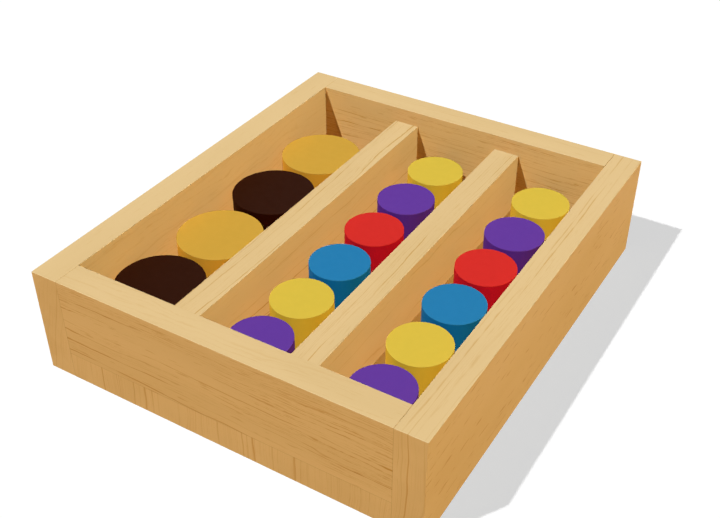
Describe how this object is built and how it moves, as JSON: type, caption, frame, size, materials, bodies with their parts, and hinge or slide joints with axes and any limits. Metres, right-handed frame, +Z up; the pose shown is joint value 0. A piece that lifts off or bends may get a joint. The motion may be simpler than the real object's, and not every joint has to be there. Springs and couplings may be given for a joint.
{
  "type": "coffee capsule organizer",
  "caption": "Open rectangular wooden tray with low lengthwise dividers and equal compartments, holding rows of large and small coffee capsules that lift out.",
  "frame": {"origin": "centre of the tray's underside, where it rests on the table", "axes": "+X to the right of the front, +Y from the front to the back along the compartments, +Z up"},
  "size_m": [0.2474, 0.288, 0.069],
  "materials": {
    "boards": "satin",
    "dowels": "matte",
    "ground_coffee": "matte",
    "capsule_brown": "satin",
    "capsule_gold": "satin",
    "capsule_purple": "satin",
    "capsule_yellow": "satin",
    "capsule_blue": "satin",
    "capsule_red": "satin"
  },
  "bodies": {
    "tray": {"left_side": "boards", "right_side": "boards", "front_board": "boards", "back_board": "boards", "bottom_board": "boards", "left_divider": "boards", "right_divider": "boards", "corner_dowels": "dowels", "base_dowels": "dowels", "end_board_dowels": "dowels", "divider_dowels": "dowels"},
    "left_capsule_1": {"left_capsule_1_cup": "capsule_brown", "left_capsule_1_coffee": "ground_coffee", "left_capsule_1_lid": "capsule_brown"},
    "left_capsule_2": {"left_capsule_2_cup": "capsule_gold", "left_capsule_2_coffee": "ground_coffee", "left_capsule_2_lid": "capsule_gold"},
    "left_capsule_3": {"left_capsule_3_cup": "capsule_brown", "left_capsule_3_coffee": "ground_coffee", "left_capsule_3_lid": "capsule_brown"},
    "left_capsule_4": {"left_capsule_4_cup": "capsule_gold", "left_capsule_4_coffee": "ground_coffee", "left_capsule_4_lid": "capsule_gold"},
    "middle_capsule_1": {"middle_capsule_1_cup": "capsule_purple", "middle_capsule_1_coffee": "ground_coffee", "middle_capsule_1_lid": "capsule_purple"},
    "middle_capsule_2": {"middle_capsule_2_cup": "capsule_yellow", "middle_capsule_2_coffee": "ground_coffee", "middle_capsule_2_lid": "capsule_yellow"},
    "middle_capsule_3": {"middle_capsule_3_cup": "capsule_blue", "middle_capsule_3_coffee": "ground_coffee", "middle_capsule_3_lid": "capsule_blue"},
    "middle_capsule_4": {"middle_capsule_4_cup": "capsule_red", "middle_capsule_4_coffee": "ground_coffee", "middle_capsule_4_lid": "capsule_red"},
    "middle_capsule_5": {"middle_capsule_5_cup": "capsule_purple", "middle_capsule_5_coffee": "ground_coffee", "middle_capsule_5_lid": "capsule_purple"},
    "middle_capsule_6": {"middle_capsule_6_cup": "capsule_yellow", "middle_capsule_6_coffee": "ground_coffee", "middle_capsule_6_lid": "capsule_yellow"},
    "right_capsule_1": {"right_capsule_1_cup": "capsule_purple", "right_capsule_1_coffee": "ground_coffee", "right_capsule_1_lid": "capsule_purple"},
    "right_capsule_2": {"right_capsule_2_cup": "capsule_yellow", "right_capsule_2_coffee": "ground_coffee", "right_capsule_2_lid": "capsule_yellow"},
    "right_capsule_3": {"right_capsule_3_cup": "capsule_blue", "right_capsule_3_coffee": "ground_coffee", "right_capsule_3_lid": "capsule_blue"},
    "right_capsule_4": {"right_capsule_4_cup": "capsule_red", "right_capsule_4_coffee": "ground_coffee", "right_capsule_4_lid": "capsule_red"},
    "right_capsule_5": {"right_capsule_5_cup": "capsule_purple", "right_capsule_5_coffee": "ground_coffee", "right_capsule_5_lid": "capsule_purple"},
    "right_capsule_6": {"right_capsule_6_cup": "capsule_yellow", "right_capsule_6_coffee": "ground_coffee", "right_capsule_6_lid": "capsule_yellow"}
  },
  "joints": [
    {"name": "left_capsule_1_lift", "type": "slide", "parent": "tray", "child": "left_capsule_1", "axis": [0, 0, 1], "range_m": [0, 0.06]},
    {"name": "left_capsule_2_lift", "type": "slide", "parent": "tray", "child": "left_capsule_2", "axis": [0, 0, 1], "range_m": [0, 0.06]},
    {"name": "left_capsule_3_lift", "type": "slide", "parent": "tray", "child": "left_capsule_3", "axis": [0, 0, 1], "range_m": [0, 0.06]},
    {"name": "left_capsule_4_lift", "type": "slide", "parent": "tray", "child": "left_capsule_4", "axis": [0, 0, 1], "range_m": [0, 0.06]},
    {"name": "middle_capsule_1_lift", "type": "slide", "parent": "tray", "child": "middle_capsule_1", "axis": [0, 0, 1], "range_m": [0, 0.06]},
    {"name": "middle_capsule_2_lift", "type": "slide", "parent": "tray", "child": "middle_capsule_2", "axis": [0, 0, 1], "range_m": [0, 0.06]},
    {"name": "middle_capsule_3_lift", "type": "slide", "parent": "tray", "child": "middle_capsule_3", "axis": [0, 0, 1], "range_m": [0, 0.06]},
    {"name": "middle_capsule_4_lift", "type": "slide", "parent": "tray", "child": "middle_capsule_4", "axis": [0, 0, 1], "range_m": [0, 0.06]},
    {"name": "middle_capsule_5_lift", "type": "slide", "parent": "tray", "child": "middle_capsule_5", "axis": [0, 0, 1], "range_m": [0, 0.06]},
    {"name": "middle_capsule_6_lift", "type": "slide", "parent": "tray", "child": "middle_capsule_6", "axis": [0, 0, 1], "range_m": [0, 0.06]},
    {"name": "right_capsule_1_lift", "type": "slide", "parent": "tray", "child": "right_capsule_1", "axis": [0, 0, 1], "range_m": [0, 0.06]},
    {"name": "right_capsule_2_lift", "type": "slide", "parent": "tray", "child": "right_capsule_2", "axis": [0, 0, 1], "range_m": [0, 0.06]},
    {"name": "right_capsule_3_lift", "type": "slide", "parent": "tray", "child": "right_capsule_3", "axis": [0, 0, 1], "range_m": [0, 0.06]},
    {"name": "right_capsule_4_lift", "type": "slide", "parent": "tray", "child": "right_capsule_4", "axis": [0, 0, 1], "range_m": [0, 0.06]},
    {"name": "right_capsule_5_lift", "type": "slide", "parent": "tray", "child": "right_capsule_5", "axis": [0, 0, 1], "range_m": [0, 0.06]},
    {"name": "right_capsule_6_lift", "type": "slide", "parent": "tray", "child": "right_capsule_6", "axis": [0, 0, 1], "range_m": [0, 0.06]}
  ]
}
